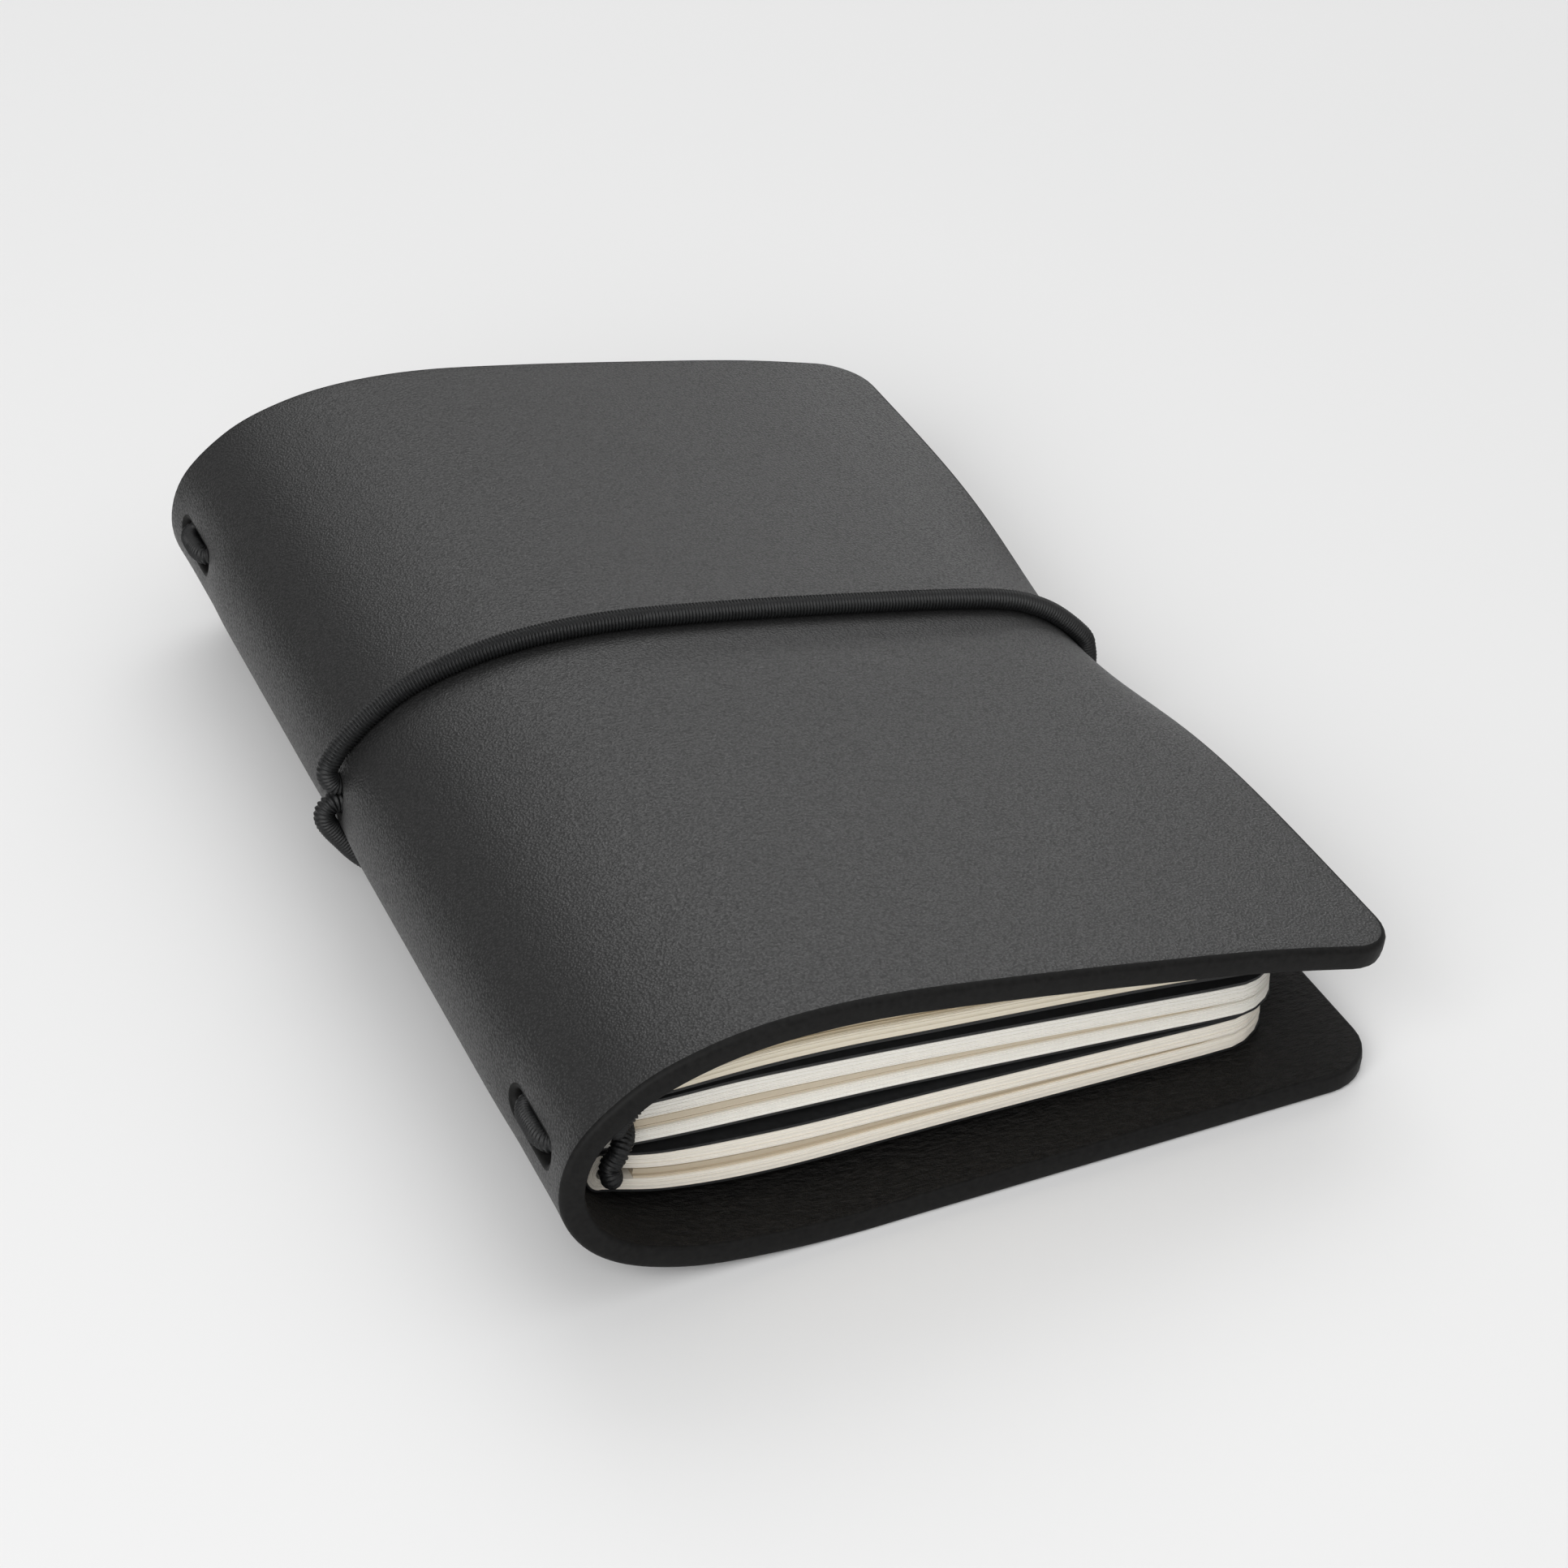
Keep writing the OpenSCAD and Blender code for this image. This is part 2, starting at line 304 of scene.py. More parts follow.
def band_channel(x, y, z):
    """Depth of the channel in the outer face where the band lies, under the back and the spine."""
    under_spine = groove(z) * smooth((-20 - x) / 10)
    level = np.maximum(np.clip(CHANNEL_DEPTH - z, 0, None), under_spine)
    across = 1 - smooth((np.abs(y - BAND_Y) - CHANNEL_HALF) / CHANNEL_FADE)
    return level * across


def lattice_lines(reach):
    """Distances from the seam, and places along the spine, at which a face has points."""
    rows = np.concatenate([[0, 0.35, 0.8], np.arange(1.5, 48, 1.1), np.arange(49.5, reach, 2.1)])
    columns = np.arange(-76.5, 77, 2.125)
    columns = columns[np.abs(columns - BAND_Y) > 5.2]
    by_band = BAND_Y + np.array([-4.2, -3.2, -2.6, -2, -1, 0, 1, 2, 2.6, 3.2, 4.2])
    return rows, np.sort(np.concatenate([columns, by_band]))


def free_lattice(rows, columns, reach, holes):
    """Lattice points that stay clear of every edge."""
    lattice = np.array([(a, y) for a in rows for y in columns])
    a = lattice[:, 0]
    along = np.abs(lattice[:, 1])
    half = COVER_LENGTH / 2
    margin = OUTER_ROUND + 0.7
    keep = (along < half - margin) & (a < reach - margin)
    in_corner = (a > reach - PANEL_CORNER) & (along > half - PANEL_CORNER)
    from_centre = np.hypot(a - reach + PANEL_CORNER, along - half + PANEL_CORNER)
    keep &= ~(in_corner & (from_centre > PANEL_CORNER - margin))
    for shape in holes:
        keep &= outside(lattice, shape, OUTER_ROUND + 0.45)
    return lattice[keep]


def face_triangles(flat, holes):
    """Triangles over the points of a face, without those inside a slot or the hole."""
    found = delaunay_2d_cdt([Vector(p) for p in flat], [], [], 0, 1e-5)
    back_to = [origin[0] for origin in found[3]]
    triangles = [[back_to[v] for v in face] for face in found[2]]
    centres = np.array([flat[t].mean(axis=0) for t in triangles])
    solid = np.ones(len(triangles), bool)
    for shape in holes:
        solid &= outside(centres, shape, OUTER_ROUND - 0.05)
    return [t for t, kept in zip(triangles, solid) if kept]


def cut_edges(loops, rings, inner_start, direction):
    """Cut edges between the two faces: their vertices, faces and the outer loop's two end columns."""
    vertices, faces = [], []
    count = 2 * inner_start
    first = 0
    for number, ring in enumerate(loops):
        n = len(ring[0])
        ids = [np.arange(first, first + n)]
        for (_, depth), loop in list(zip(rings, ring))[1:-1]:
            vertices.append(leather_surface(loop[:, 0], loop[:, 1], np.full(n, depth), direction))
            ids.append(np.arange(count, count + n))
            count += n
        ids.append(ids[0] + inner_start)
        is_hole = number > 0
        for low, high in zip(ids[:-1], ids[1:]):
            for k in range(n if is_hole else n - 1):
                m = (k + 1) % n
                faces.append([low[k], low[m], high[m], high[k]])
        if not is_hole:
            ends = [[i[0] for i in ids], [i[-1] for i in ids]]
        first += n
    return vertices, faces, ends


def seam_end(on_seam, ends, inner_start):
    """Faces of the internal end where this half meets the other one."""
    faces = [[low, high, high + inner_start, low + inner_start]
             for low, high in zip(on_seam[:-1], on_seam[1:])]
    faces.append(ends[0] + [on_seam[0] + inner_start, on_seam[0]])
    faces.append(ends[1] + [on_seam[-1] + inner_start, on_seam[-1]])
    return faces


def leather_half(name, direction):
    """One closed half of the leather sheet, from mid-spine to its fore-edge."""
    grain, cut, flesh = 0, 1, 2
    reach = SEAM_S if direction < 0 else PROFILE_S[-1] - SEAM_S
    rows, columns = lattice_lines(reach)
    holes = slot_loops() if direction > 0 else []
    rings = edge_profile()
    loops = [[panel_edge(rows, columns, reach, inset) for inset, _ in rings]]
    loops += [[stadium(shape, inset) for inset, _ in rings] for shape in holes]
    lattice = free_lattice(rows, columns, reach, holes)

    vertices = []
    for ring, depth in ((0, 0.0), (-1, LEATHER)):
        points = np.vstack([loop[ring] for loop in loops] + [lattice])
        depths = np.full(len(points), depth)
        vertices.append(leather_surface(points[:, 0], points[:, 1], depths, direction))
    flat = np.vstack([loop[0] for loop in loops] + [lattice])
    inner_start = len(flat)
    triangles = face_triangles(flat, holes)
    faces = [list(t) for t in triangles]
    faces += [[v + inner_start for v in reversed(t)] for t in triangles]
    kinds = [grain] * len(triangles) + [flesh] * len(triangles)

    edge_vertices, edge_faces, ends = cut_edges(loops, rings, inner_start, direction)
    lattice_start = len(flat) - len(lattice)
    on_seam = [i + lattice_start for i in np.flatnonzero(lattice[:, 0] < 1e-9)]
    on_seam.sort(key=lambda i: flat[i][1])
    edge_faces += seam_end(on_seam, ends, inner_start)
    kinds += [cut] * len(edge_faces)
    all_faces = [[int(v) for v in face] for face in faces + edge_faces]
    piece = new_object(name, np.vstack(vertices + edge_vertices), all_faces, 50)
    piece.data.polygons.foreach_set("material_index", kinds)
    return piece


def make_leather(materials):
    """The sheet as two halves that meet at mid-spine."""
    back = leather_half("cover_back_half", -1)
    finish_piece(back, None, materials, ["leather_back_panel"])
    front = leather_half("cover_front_half", 1)
    finish_piece(front, None, materials, ["leather_front_panel", "leather_spine"])
    bend_round(back)
    bend_round(front)


def bend_round(piece):
    """Bakes the piece's place into its mesh."""
    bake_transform(piece)


# ---------------------------------------------------------------- booklets
def opening_line(n):
    """[x, z, half width] along a booklet's middle opening, from its fold to its fore-edge."""
    x = np.array([FOLD_X[n], *OPENING_X, EDGE_X[n]], float)
    return catmull(np.column_stack([x, OPENING_Z[n], np.array(OPENING_GAP) / 2]), OPENING_STEPS)


def fold_section(n, front_offset, back_offset, sides):
    """Section [x, z] of a folded sheet, from the front half's fore-edge over the fold to the back's."""
    line = opening_line(n)
    # More steps where the corners are rounded
    turns = np.radians([10, 25, 40, 52, 64, 74, 82, 87])
    corner_x = EDGE_X[n] - BOOKLET_CORNER * (1 - np.sin(turns))
    xs = np.sort(np.concatenate([line[:, 0], corner_x]))
    z = np.interp(xs, line[:, 0], line[:, 1])
    gap = np.interp(xs, line[:, 0], line[:, 2])
    opened = smooth((xs - FOLD_X[n]) / SWELL_REACH)
    front_rise = front_offset * (1 + (FRONT_SWELL[n] - 1) * opened)
    back_drop = back_offset * (1 + (BACK_SWELL[n] - 1) * opened)
    parts = []
    if "front" in sides:
        parts.append(np.column_stack([xs, z + gap + front_rise])[::-1])
    if len(sides) == 2:
        angles = np.radians(np.linspace(90, 270, 15)[1:-1])
        share = (np.degrees(angles) - 90) / 180
        radius = gap[0] + front_offset * (1 - share) + back_offset * share
        parts.append(np.column_stack([xs[0] + FOLD_ROUNDNESS * radius * np.cos(angles),
                                      z[0] + radius * np.sin(angles)]))
    if "back" in sides:
        parts.append(np.column_stack([xs, z - gap - back_drop]))
    return np.vstack(parts)


def middle_section(n, share):
    """Section of a leaf in the middle opening, share from -1 at its lower side to 1 at its upper."""
    line = opening_line(n)[MIDDLE_START:]
    return np.column_stack([line[:, 0], line[:, 1] + share * line[:, 2]])


def settle(n, x, y):
    """Height added to the sheets: booklet 1's ends rise where the band doesn't press, others wave."""
    if n:
        return 0.06 * np.sin(y / 31 + n) * smooth((x + 30) / 40)
    away_from_band = 1 - np.exp(-((y - BAND_Y) / 42) ** 2)
    return END_RISE * smooth((x + 10) / 45) * away_from_band


def sheet_box(n, inner, outer, shift, trim, columns, inset=0.0):
    """Closed thin sheet between two sections, as vertices and faces."""
    rows = len(inner)
    fractions = np.linspace(-1, 1, columns)
    grids = []
    for section in (inner, outer):
        x = np.where(section[:, 0] > 0, section[:, 0] * (1 - trim / EDGE_X[n]), section[:, 0])
        half = shrink_round_corners(section[:, 0], EDGE_X[n], BOOKLET_LENGTH, BOOKLET_CORNER) - inset
        y = half[:, None] * fractions[None, :] + shift
        xx = np.repeat(x[:, None], columns, axis=1)
        z = section[:, 1][:, None] + settle(n, xx, y)
        grids.append(np.stack([xx, y, z], axis=-1).reshape(-1, 3))
    size = rows * columns

    def quad(i, j, layer):
        a = layer * size + i * columns + j
        return [a, a + 1, a + columns + 1, a + columns]

    faces = [quad(i, j, 0) for i in range(rows - 1) for j in range(columns - 1)]
    faces += [quad(i, j, 1)[::-1] for i in range(rows - 1) for j in range(columns - 1)]
    rim = list(range(columns))
    rim += [i * columns + columns - 1 for i in range(1, rows)]
    rim += [(rows - 1) * columns + j for j in range(columns - 2, -1, -1)]
    rim += [i * columns for i in range(rows - 2, 0, -1)]
    for a, b in zip(rim, rim[1:] + rim[:1]):
        faces.append([b, a, a + size, b + size])
    return np.vstack(grids), faces


class Block:
    """Sheets gathered into one mesh, each with its own paper tone; the middle leaves' tone picks a
    painted shade.
    """

    def __init__(self):
        self.vertices, self.faces, self.tones = [], [], []

    def add(self, points, quads, tone_and_shade):
        first = len(self.tones)
        self.vertices.append(points)
        self.faces += [[v + first for v in quad] for quad in quads]
        self.tones += [tone_and_shade] * len(points)


def make_sheets(name, n, sides, body, material, seed):
    """A block of separate folded sheets, or of one half of them."""
    rng = np.random.default_rng(seed)
    leaves = FRONT_LEAVES if "front" in sides else BACK_LEAVES
    front_step = FRONT_PAGES / leaves
    back_step = BACK_PAGES / leaves
    columns = 15 if n == 0 else 7
    block = Block()
    for leaf in range(leaves):
        fill = rng.uniform(0.9, 0.99)
        inner = fold_section(n, leaf * front_step, leaf * back_step, sides)
        outer = fold_section(n, (leaf + fill) * front_step, (leaf + fill) * back_step, sides)
        shift = rng.normal(0, 0.05)
        sheet = sheet_box(n, inner, outer, shift, rng.uniform(0, 0.12), columns)
        block.add(*sheet, rng.uniform(0.3, 1))
    # Middle leaves: tan sheets in the opening, coloured as painted shade of its inside
    for leaf in range(MIDDLE_LEAVES if "back" in sides else 0):
        low = 2 * leaf / MIDDLE_LEAVES - 1
        inner = middle_section(n, low + 0.02)
        outer = middle_section(n, low + 2 * rng.uniform(0.95, 0.99) / MIDDLE_LEAVES)
        sheet = sheet_box(n, inner, outer, rng.normal(0, 0.1), 0.5, columns, MIDDLE_INSET)
        block.add(*sheet, rng.uniform(0, 0.1))
    piece = new_object(name, np.vstack(block.vertices), block.faces, 40)
    tone_and_shade = piece.data.attributes.new("tone_and_shade", "FLOAT", "POINT")
    tone_and_shade.data.foreach_set("value", block.tones)
    nodes = [f"booklet_{n + 1}_{side}_pages" for side in sides]
    return finish_piece(piece, body, [material], nodes)


def make_wrapper(name, n, sides, body, material):
    """The black card cover of a booklet, or one half of it, a little wider than the sheets."""
    front = FRONT_PAGES + SHEET_GAP
    back = BACK_PAGES + SHEET_GAP
    inner = fold_section(n, front, back, sides)
    outer = fold_section(n, front + CARD, back + CARD, sides)
    points, quads = sheet_box(n, inner, outer, 0.0, -0.15, 15)
    piece = new_object(name, points, quads, 40)
    nodes = [f"booklet_{n + 1}_{side}_card" for side in sides]
    return finish_piece(piece, body, [material], nodes)


def make_booklets(papers, card, thread, elastic):
    """Three booklets; the middle one is in two halves because the cover opens there."""
    both = ("front", "back")
    make_sheets("booklet_1_sheets", 0, both, "booklet_1", papers[0], 11)
    make_wrapper("booklet_1_wrapper", 0, both, "booklet_1", card)
    for side in both:
        body = f"booklet_2_{side}_half"
        make_sheets(f"booklet_2_{side}_sheets", 1, (side,), body, papers[1], 21)
        make_wrapper(f"booklet_2_{side}_wrapper", 1, (side,), body, card)
    make_sheets("booklet_3_sheets", 2, both, "back_cover", papers[2], 31)
    make_wrapper("booklet_3_wrapper", 2, both, "back_cover", card)
    bodies = ("booklet_1", "booklet_2_back_half", "back_cover")
    for n, body in enumerate(bodies):
        x, z = opening_point(n, STRAND_PLACE)
        strand = [(x, y, z) for y in np.linspace(-71, 71, 9)]
        make_cord(f"booklet_{n + 1}_fold_cord", [strand], STRAND_D, body, elastic,
                  [f"booklet_{n + 1}_elastic"])
        make_stitching(n, body, thread)


def opening_point(n, place):
    """Point [x, z] on a booklet's middle opening, place counted in points of its line from the fold."""
    x = np.array([FOLD_X[n], *OPENING_X, EDGE_X[n]], float)
    steps = 100
    line = catmull(np.column_stack([x, OPENING_Z[n]]), steps)
    return line[int(round(place * steps))]


def make_stitching(n, body, thread):
    """Stitches along the fold, each one a short thread that dives into the paper at its ends."""
    x, z = opening_point(n, STITCH_PLACE)
    # Place along a stitch, and how far the thread stands out of the fold there
    stitch = ((-3.2, -0.25), (-2.9, 0), (0, 0.1), (2.9, 0), (3.2, -0.25))
    paths = []
    for k in range(STITCHES):
        middle = (k - (STITCHES - 1) / 2) * STITCH_PITCH
        paths.append([(x + out, middle + along, z) for along, out in stitch])
    piece = tubes(f"booklet_{n + 1}_thread", paths, THREAD_D, pitch=0.7, height=0.03, sides=8)
    finish_piece(piece, body, [thread], [f"booklet_{n + 1}_stitching"])


# ---------------------------------------------------------------- cords
def tube_axes(centre, at):
    """Two directions square to a path, at each of its points."""
    tangent = np.gradient(centre, at, axis=0)
    tangent /= np.linalg.norm(tangent, axis=1)[:, None]
    width = np.array([0.0, 1.0, 0.0])
    if abs(tangent[len(tangent) // 2] @ width) > 0.7:
        width = np.array([0.0, 0.0, 1.0])
    side = np.cross(tangent, width)
    side /= np.linalg.norm(side, axis=1)[:, None]
    return side, np.cross(side, tangent)


def tube_rings(path, radii, diameter, pitch, height, sides):
    """Points of a ribbed tube with round ends, as [ring, side, xyz]."""
    dense = catmull(np.hstack([np.array(path, float), np.array(radii, float)]), 24)
    s = arc_lengths(dense[:, :3])
    rings_per_rib = 5
    rings = max(8, int(s[-1] / (pitch / rings_per_rib)))
    at = np.linspace(0, s[-1], rings)
    line = np.column_stack([np.interp(at, s, dense[:, k]) for k in range(5)])
    centre = line[:, :3]
    side, up = tube_axes(centre, at)
    angles = np.linspace(0, 2 * math.pi, sides, endpoint=False)
    phase = 2 * math.pi * at[:, None] / pitch + angles[None, :]
    ribs = height * (0.5 + 0.5 * np.cos(phase)) - height * 0.6
    ends = np.clip(np.minimum(at, at[-1] - at) / (0.35 * diameter), 0, 1)
    cap = np.sqrt(1 - (1 - ends) ** 2)[:, None]
    thick = (line[:, 3:4] + ribs) * cap
    wide = (line[:, 4:5] + ribs) * cap
    points = (centre[:, None, :] + side[:, None, :] * (thick * np.cos(angles))[:, :, None]
              + up[:, None, :] * (wide * np.sin(angles))[:, :, None])
    return points[1:-1]


def tube_faces(rings, sides, first):
    """Faces of a closed tube whose vertices start at first."""
    faces = []
    for i in range(rings - 1):
        low = first + i * sides
        high = low + sides
        for k in range(sides):
            m = (k + 1) % sides
            faces.append([low + k, low + m, high + m, high + k])
    last = first + (rings - 1) * sides
    faces.append([first + k for k in range(sides)])
    faces.append([last + k for k in reversed(range(sides))])
    return faces


def tubes(name, paths, diameter, pitch=RIB_PITCH, height=RIB_HEIGHT, sides=14, halves=None):
    """Ribbed closed tubes along smooth paths. halves gives [half thickness, half width] per point."""
    vertices, faces = [], []
    count = 0
    for path in paths:
        radii = halves if halves is not None else [(diameter / 2, diameter / 2)] * len(path)
        rings = tube_rings(path, radii, diameter, pitch, height, sides)
        vertices.append(rings.reshape(-1, 3))
        faces += tube_faces(len(rings), sides, count)
        count += len(rings) * sides
    return new_object(name, np.vstack(vertices), faces, 70)


def make_cord(name, paths, diameter, body, material, nodes):
    """A round elastic cord along each path."""
    piece = tubes(name, paths, diameter)
    return finish_piece(piece, body, [material], nodes)


def band_over_front():
    """Centre line of the band where it lies on the front panel, dip included."""
    places = np.linspace(9.64 * CURVE_STEPS, len(PROFILE) - 3, 34).astype(int)
    base = PROFILE[places].copy()
    pinch = dip(base[:, 0], BAND_Y)
    base -= np.column_stack([PINCH_PULL * pinch, pinch])
    heading = np.gradient(base, axis=0)
    heading /= np.linalg.norm(heading, axis=1)[:, None]
    lift = BAND_D / 2 - BAND_PRESS
    return [(x - lift * dz, z + lift * dx) for (x, z), (dx, dz) in zip(base, heading)]


def band_under_spine():
    """Centre line of the band from the underside up the spine to its hole."""
    places = np.linspace(6.2 * CURVE_STEPS, 8.68 * CURVE_STEPS, 10).astype(int)
    lift = BAND_D / 2 - BAND_PRESS - groove(PROFILE[places, 1])
    return [tuple(p) for p in PROFILE[places] - lift[:, None] * PROFILE_N[places]]


def make_band(elastic):
    """The closing band, out of its hole, round the cover and back in, and the knot inside."""
    strand = BAND_D / 2 - 0.05
    over, below = HOLE_Z + strand, HOLE_Z - strand
    from_hole = [(-47.6, over - 0.3), (-50.2, over), (-52.1, over + 0.55)]
    round_edge = [(54.1, 13.2), (54.3, 11.3), (54.1, 8.4), (53.9, 5.4), (53.8, 3.2), (53.4, 1.7)]
    under_z = 0.05 + FLAT_BAND[0] / 2
    under = [(x, under_z) for x in (51.8, 48, 20, -10, -28, -35)]
    into_hole = [(-53.3, 16.4), (-52.2, below + 0.1), (-50.2, below), (-47.6, below + 0.3)]
    points = from_hole + band_over_front() + round_edge + under + band_under_spine() + into_hole
    flat = (FLAT_BAND[0] / 2, FLAT_BAND[1] / 2)
    halves = [flat if z < FLAT_BELOW else (BAND_D / 2, BAND_D / 2) for _, z in points]
    path = [(x, BAND_Y, z) for x, z in points]
    band = tubes("closing_band_cord", [path], BAND_D, halves=halves)
    finish_piece(band, "back_cover", [elastic], ["closing_band"])
    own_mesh(band)
    # x, then y from the band's middle and z from the hole's
    turns = [(-48.4, -0.4, 1.1), (-47, 0.9, 0.6), (-46.3, 0, -0.9), (-47, -0.9, -0.5),
             (-47.6, 0, 0.6), (-46.4, 0.5, 0.7)]
    knot = [(x, BAND_Y + y, HOLE_Z + z) for x, y, z in turns]
    nodes = ["closing_band_knot"]
    make_cord("closing_band_tied_end", [knot], KNOT_CORD_D, "spine", elastic, nodes)


def slot_run(y, reach, proud):
    """Path of the elastic in one slot: out at its near end and back in at its far end."""
    flush = -51.3 - proud
    # x, distance from the slot's end and height above its middle
    half = [(-46.5, 1.2, 0.2), (-49, 1.6, 0.2), (flush + 0.7, 2.3, 0.15), (flush, 3.8, 0.1)]
    start = [(x, y - reach + step, SLOT_Z + rise) for x, step, rise in half]
    end = [(x, y + reach - step, SLOT_Z - rise) for x, step, rise in reversed(half)]
    return start + [(flush - 0.1, y, SLOT_Z)] + end


def make_retaining_elastic(elastic):
    """Outside the spine in each slot, and inside over the near and far ends of the folds."""
    for side, word in ((-1, "near"), (1, "far")):
        proud = 0.0 if side < 0 else 0.5
        run = slot_run(side * SLOT_OFFSET, SLOT_LENGTH / 2, proud)
        name = f"elastic_{word}_slot_cord"
        make_cord(name, [run], ELASTIC_D, "spine", elastic, [f"elastic_{word}_run"])
        out = side * 72.6
        end = side * 70.8
        within = side * 67
        upper = [(-38.6, within, 23.4), (-39.4, end, 23.3), (-41.4, out, 22.6),
                 (-43.2, out, 20.6), (-42.9, end, 18.5), (-41.8, within, 17.8)]
        lower = [(-41.2, within, 17.4), (-41.9, end, 17.4), (-43.2, out, 16.6), (-44.3, out, 14.9),
                 (-44.2, out, 13.2), (-43.6, end, 12), (-43.1, within, 11.5)]
        name = f"elastic_{word}_fold_loops"
        make_cord(name, [upper, lower], ELASTIC_D, "spine", elastic, [f"elastic_{word}_bridge"])


# ---------------------------------------------------------------- materials
class Nodes:
    """A short way to write a material's nodes."""

    def __init__(self, name):
        self.material = bpy.data.materials.new(name)
        self.material.use_nodes = True
        self.tree = self.material.node_tree
        self.shader = self.tree.nodes["Principled BSDF"]

    def add(self, kind, **settings):
        node = self.tree.nodes.new(kind)
        for key, value in settings.items():
            if hasattr(node, key):
                setattr(node, key, value)
            else:
                node.inputs[key.replace("_", " ")].default_value = value
        return node

    def link(self, source, socket, node, target):
        self.tree.links.new(source.outputs[socket], node.inputs[target])

    def place(self):
        return self.add("ShaderNodeTexCoord")

    def noise(self, scale, detail=2.0, roughness=0.5, stretch=(1, 1, 1)):
        where = self.place()
        mapping = self.add("ShaderNodeMapping")
        mapping.inputs["Scale"].default_value = stretch
        self.link(where, "Object", mapping, "Vector")
        noise = self.add("ShaderNodeTexNoise", Scale=scale, Detail=detail, Roughness=roughness)
        self.link(mapping, "Vector", noise, "Vector")
        return noise

    def ramp(self, source, socket, stops):
        ramp = self.add("ShaderNodeValToRGB")
        elements = ramp.color_ramp.elements
        while len(elements) < len(stops):
            elements.new(0.5)
        for element, (position, colour) in zip(elements, stops):
            element.position = position
            element.color = (*colour, 1)
        self.link(source, socket, ramp, "Fac")
        return ramp

    def multiply(self, factor, first, second):
        """Multiplies two ramps into the base colour."""
        mix = self.add("ShaderNodeMix", data_type="RGBA", blend_type="MULTIPLY")
        mix.inputs["Factor"].default_value = factor
        self.tree.links.new(first.outputs["Color"], mix.inputs[6])
        self.tree.links.new(second.outputs["Color"], mix.inputs[7])
        self.tree.links.new(mix.outputs[2], self.shader.inputs["Base Color"])

    def bump(self, source, socket, strength, distance, below=None):
        bump = self.add("ShaderNodeBump", Strength=strength, Distance=distance)
        self.link(source, socket, bump, "Height")
        if below is not None:
            self.link(below, "Normal", bump, "Normal")
        return bump

    def range(self, source, socket, low, high):
        node = self.add("ShaderNodeMapRange")
        node.inputs["To Min"].default_value = low
        node.inputs["To Max"].default_value = high
        self.link(source, socket, node, "Value")
        return node


def grey(value, warm=0.0):
    """A grey, a little red where warm is above 0 and a little blue below."""
    return (value * (1 + warm), value, value * (1 - warm))


def grain_leather():
    """Black leather's outer face: small cells over soft folds, with pores and painted shade darkening
    the creases between them.
    """
    m = Nodes("leather_grain")
    cells = m.add("ShaderNodeTexVoronoi", feature="SMOOTH_F1", Scale=3600.0)
    warp = m.noise(700, 2, 0.5)
    where = m.place()
    mixed = m.add("ShaderNodeVectorMath", operation="MULTIPLY_ADD")
    mixed.inputs[1].default_value = (0.0004, 0.0004, 0.0004)
    m.link(warp, "Color", mixed, 0)
    m.link(where, "Object", mixed, 2)
    m.link(mixed, "Vector", cells, "Vector")
    patches = m.noise(38, 3, 0.55)
    colour = m.ramp(patches, "Fac", [(0.3, grey(0.016)), (0.7, grey(0.02))])
    # Darker towards each cell's edge: real pores plus painted shade in the creases between the cells
    pores_and_crease_shade = m.ramp(cells, "Distance", [(0.15, grey(1.25)), (0.55, grey(0.1))])
    m.multiply(0.9, colour, pores_and_crease_shade)
    creases = m.range(cells, "Distance", 0.34, 0.72)
    m.link(creases, "Result", m.shader, "Roughness")
    m.shader.inputs["Specular IOR Level"].default_value = 0.7
    soft = m.noise(420, 3, 0.6, (1.0, 0.45, 1.0))
    folds = m.bump(soft, "Fac", 0.1, 0.0005)
    fine = m.noise(4200, 2, 0.6)
    low = m.bump(fine, "Fac", 0.3, 0.00008, below=folds)
    top = m.bump(cells, "Distance", 0.6, 0.00016, below=low)
    top.invert = True
    m.link(top, "Normal", m.shader, "Normal")
    return m.material


def fibre_material(name, noise, stops, roughness, specular, bump):
    """A matt material with fine fibres. noise holds scale, detail and so on, bump its two values."""
    m = Nodes(name)
    fibres = m.noise(*noise)
    colour = m.ramp(fibres, "Fac", stops)
    m.link(colour, "Color", m.shader, "Base Color")
    if len(roughness) == 2:
        rough = m.range(fibres, "Fac", *roughness)
        m.link(rough, "Result", m.shader, "Roughness")
    else:
        m.shader.inputs["Roughness"].default_value = roughness[0]
    m.shader.inputs["Specular IOR Level"].default_value = specular
    top = m.bump(fibres, "Fac", *bump)
    m.link(top, "Normal", m.shader, "Normal")
    return m.material


def edge_leather():
    stops = [(0.3, grey(0.003, 0.03)), (0.7, grey(0.009, 0.03))]
    noise = (1400, 3, 0.6)
    return fibre_material("leather_cut_edge", noise, stops, (0.5, 0.72), 0.16, (0.35, 0.00012))


def flesh_leather():
    stops = [(0.35, grey(0.002, 0.15)), (0.65, grey(0.009, 0.1))]
    noise = (650, 4, 0.65, (1.0, 2.2, 1.0))
    return fibre_material("leather_flesh_side", noise, stops, (0.62,), 0.2, (1.0, 0.0008))


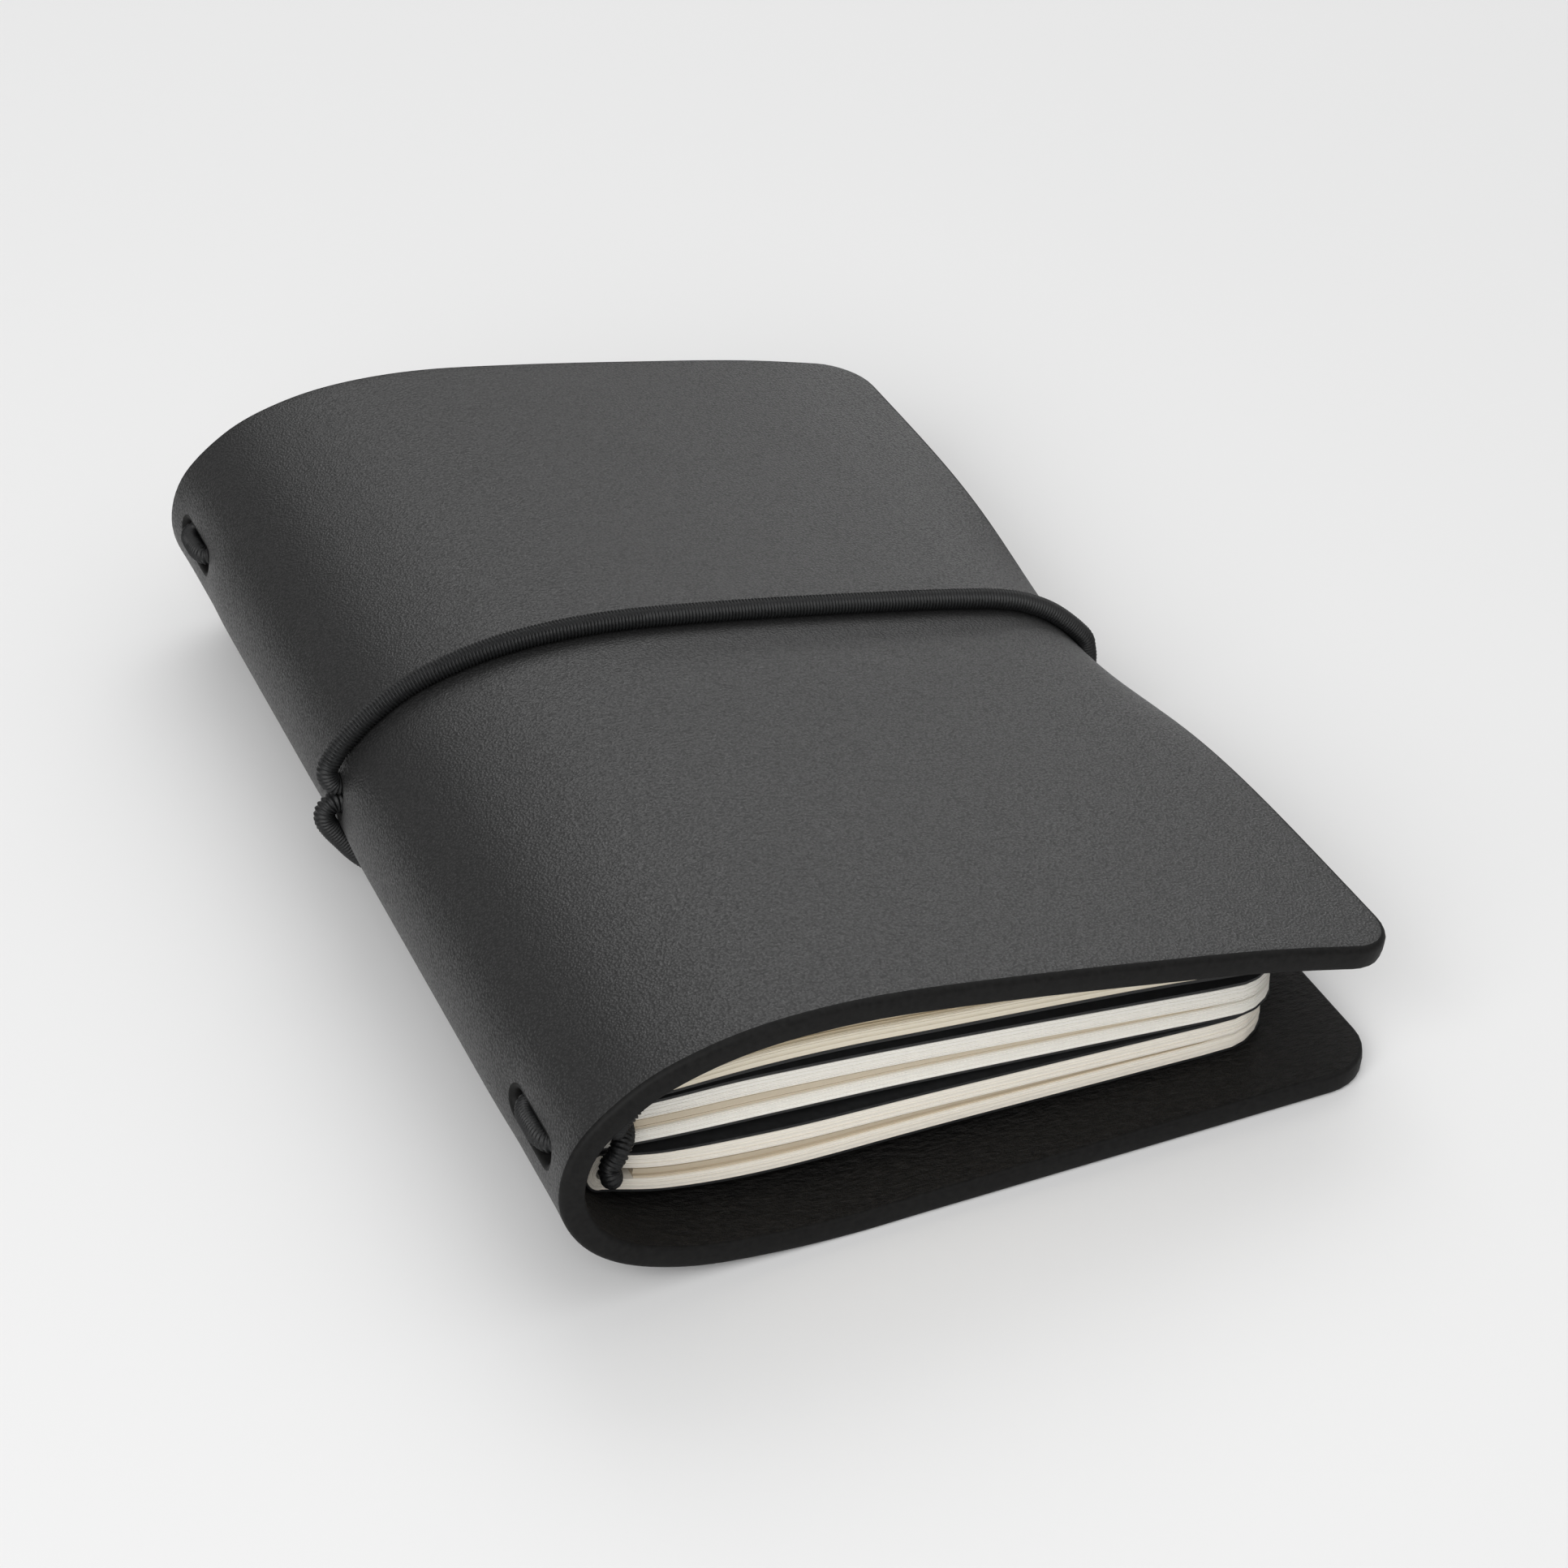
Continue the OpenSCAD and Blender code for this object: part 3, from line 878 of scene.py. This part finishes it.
def paper(name, middle, dark, light):
    """Paper whose colour follows each sheet's tone: middle leaves below 0.2, a tan that is painted
    shade, others from 0.3.
    """
    m = Nodes(name)
    tone_and_shade = m.add("ShaderNodeAttribute", attribute_name="tone_and_shade")
    # The middle colour, below a tone of 0.2, is painted shade: the tan of the opening's shaded inside
    colour = m.ramp(tone_and_shade, "Fac", [(0.0, middle), (0.2, middle), (0.3, dark), (1.0, light)])
    fibres = m.noise(900, 3, 0.6)
    speckle = m.ramp(fibres, "Fac", [(0.3, grey(0.94)), (0.7, grey(1.0))])
    m.multiply(0.6, colour, speckle)
    m.shader.inputs["Roughness"].default_value = 0.85
    m.shader.inputs["Specular IOR Level"].default_value = 0.25
    top = m.bump(fibres, "Fac", 0.1, 0.0001)
    m.link(top, "Normal", m.shader, "Normal")
    return m.material


def card_material():
    stops = [(0.3, grey(0.011, -0.03)), (0.7, grey(0.019, -0.03))]
    noise = (1200, 3, 0.6)
    return fibre_material("card_black", noise, stops, (0.5, 0.68), 0.5, (0.15, 0.00008))


def elastic_material():
    stops = [(0.3, grey(0.003, -0.05)), (0.7, grey(0.012, -0.05))]
    noise = (2600, 3, 0.6)
    return fibre_material("elastic_knit", noise, stops, (0.4, 0.65), 0.4, (0.5, 0.00008))


def thread_material():
    stops = [(0.3, (0.62, 0.58, 0.5)), (0.7, (0.78, 0.75, 0.68))]
    noise = (3000, 2, 0.6)
    return fibre_material("linen_thread", noise, stops, (0.8,), 0.5, (0.4, 0.00006))


# ---------------------------------------------------------------- studio
def make_camera():
    """The camera looks at the cover from its near spine end, from above."""
    azimuth = math.radians(-23.44)
    elevation = math.radians(34.87)
    distance = 459.85
    target = Vector((5.47, -6.07, 10.0))
    back = Vector((math.sin(azimuth) * math.cos(elevation),
                   -math.cos(azimuth) * math.cos(elevation),
                   math.sin(elevation)))
    data = bpy.data.cameras.new("camera")
    data.sensor_width = 36.0
    data.lens = 81.26
    data.clip_start = 0.01
    data.clip_end = 20.0
    camera = bpy.data.objects.new("camera", data)
    bpy.context.scene.collection.objects.link(camera)
    right = Vector((math.cos(azimuth), math.sin(azimuth), 0.0))
    up = back.cross(right)
    turn = Matrix((right, up, back)).transposed().to_4x4()
    camera.matrix_world = Matrix.Translation((target + back * distance) * MM) @ turn
    bpy.context.scene.camera = camera


def make_floor():
    """A wide pale sheet under the cover."""
    mesh = bpy.data.meshes.new("floor")
    half = 2.5  # metres
    corners = [(-half, -half, 0), (half, -half, 0), (half, half, 0), (-half, half, 0)]
    mesh.from_pydata(corners, [], [(0, 1, 2, 3)])
    floor = bpy.data.objects.new("floor", mesh)
    bpy.context.scene.collection.objects.link(floor)
    m = Nodes("floor_paper")
    m.shader.inputs["Base Color"].default_value = (0.8, 0.8, 0.8, 1)
    m.shader.inputs["Roughness"].default_value = 0.9
    m.shader.inputs["Specular IOR Level"].default_value = 0.1
    mesh.materials.append(m.material)


def soft_range(tree, source, socket, between, strengths):
    """A smooth step of strength along one direction of the sky."""
    node = tree.nodes.new("ShaderNodeMapRange")
    node.interpolation_type = "SMOOTHSTEP"
    node.inputs["From Min"].default_value = between[0]
    node.inputs["From Max"].default_value = between[1]
    node.inputs["To Min"].default_value = strengths[0]
    node.inputs["To Max"].default_value = strengths[1]
    tree.links.new(source.outputs[socket], node.inputs["Value"])
    return node


def make_sky():
    """A white dome, dark towards the horizon and dimmer on the spine's side."""
    world = bpy.data.worlds.new("studio")
    world.use_nodes = True
    bpy.context.scene.world = world
    tree = world.node_tree
    background = tree.nodes["Background"]
    background.inputs["Color"].default_value = (1, 1, 1, 1)
    where = tree.nodes.new("ShaderNodeTexCoord")
    parts = tree.nodes.new("ShaderNodeSeparateXYZ")
    tree.links.new(where.outputs["Generated"], parts.inputs["Vector"])
    height = soft_range(tree, parts, "Z", (0.22, 0.62), (0.04, 0.85))
    from_left = soft_range(tree, parts, "X", (-0.6, 0.15), (0.3, 1.0))
    both = tree.nodes.new("ShaderNodeMath")
    both.operation = "MULTIPLY"
    tree.links.new(height.outputs["Result"], both.inputs[0])
    tree.links.new(from_left.outputs["Result"], both.inputs[1])
    tree.links.new(both.outputs["Value"], background.inputs["Strength"])


def make_light():
    """The sky and three soft panels; places and sizes in metres, power in watts."""
    make_sky()
    soft_panel("top_panel", (0.45, 1.0, 1.1), (1.2, 0.9), 4.6)
    soft_panel("low_panel", (0.8, 0.98, 0.2), (0.3, 0.15), 0.7)
    soft_panel("front_panel", (-1.0, -1.0, 1.0), (1.6, 1.2), 26.0)


def soft_panel(name, place, size, power):
    """A rectangular light that faces the cover and isn't seen itself."""
    data = bpy.data.lights.new(name, "AREA")
    data.shape = "RECTANGLE"
    data.size, data.size_y = size
    data.energy = power
    panel = bpy.data.objects.new(name, data)
    bpy.context.scene.collection.objects.link(panel)
    panel.location = Vector(place)
    panel.rotation_euler = (-Vector(place)).to_track_quat("-Z", "Y").to_euler()
    panel.visible_camera = False


# ---------------------------------------------------------------- the scene
bpy.context.scene.view_settings.view_transform = "Standard"
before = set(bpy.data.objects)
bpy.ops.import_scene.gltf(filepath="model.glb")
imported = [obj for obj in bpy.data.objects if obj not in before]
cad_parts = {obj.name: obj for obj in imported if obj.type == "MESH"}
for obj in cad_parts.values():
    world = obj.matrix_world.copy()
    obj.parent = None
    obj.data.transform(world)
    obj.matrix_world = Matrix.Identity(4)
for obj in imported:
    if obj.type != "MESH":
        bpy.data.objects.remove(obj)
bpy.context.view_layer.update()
make_camera()
make_floor()
make_light()
make_leather([grain_leather(), edge_leather(), flesh_leather()])
elastic = elastic_material()
# The first colour of each paper is painted shade: the tan of its middle leaves in the opening
papers = [
    paper("paper_ivory", (0.62, 0.53, 0.38), (0.84, 0.76, 0.61), (0.93, 0.87, 0.74)),
    paper("paper_white", (0.60, 0.52, 0.40), (0.88, 0.85, 0.78), (0.95, 0.93, 0.88)),
    paper("paper_cream", (0.60, 0.51, 0.38), (0.86, 0.80, 0.70), (0.94, 0.90, 0.82)),
]
make_booklets(papers, card_material(), thread_material(), elastic)
make_band(elastic)
make_retaining_elastic(elastic)
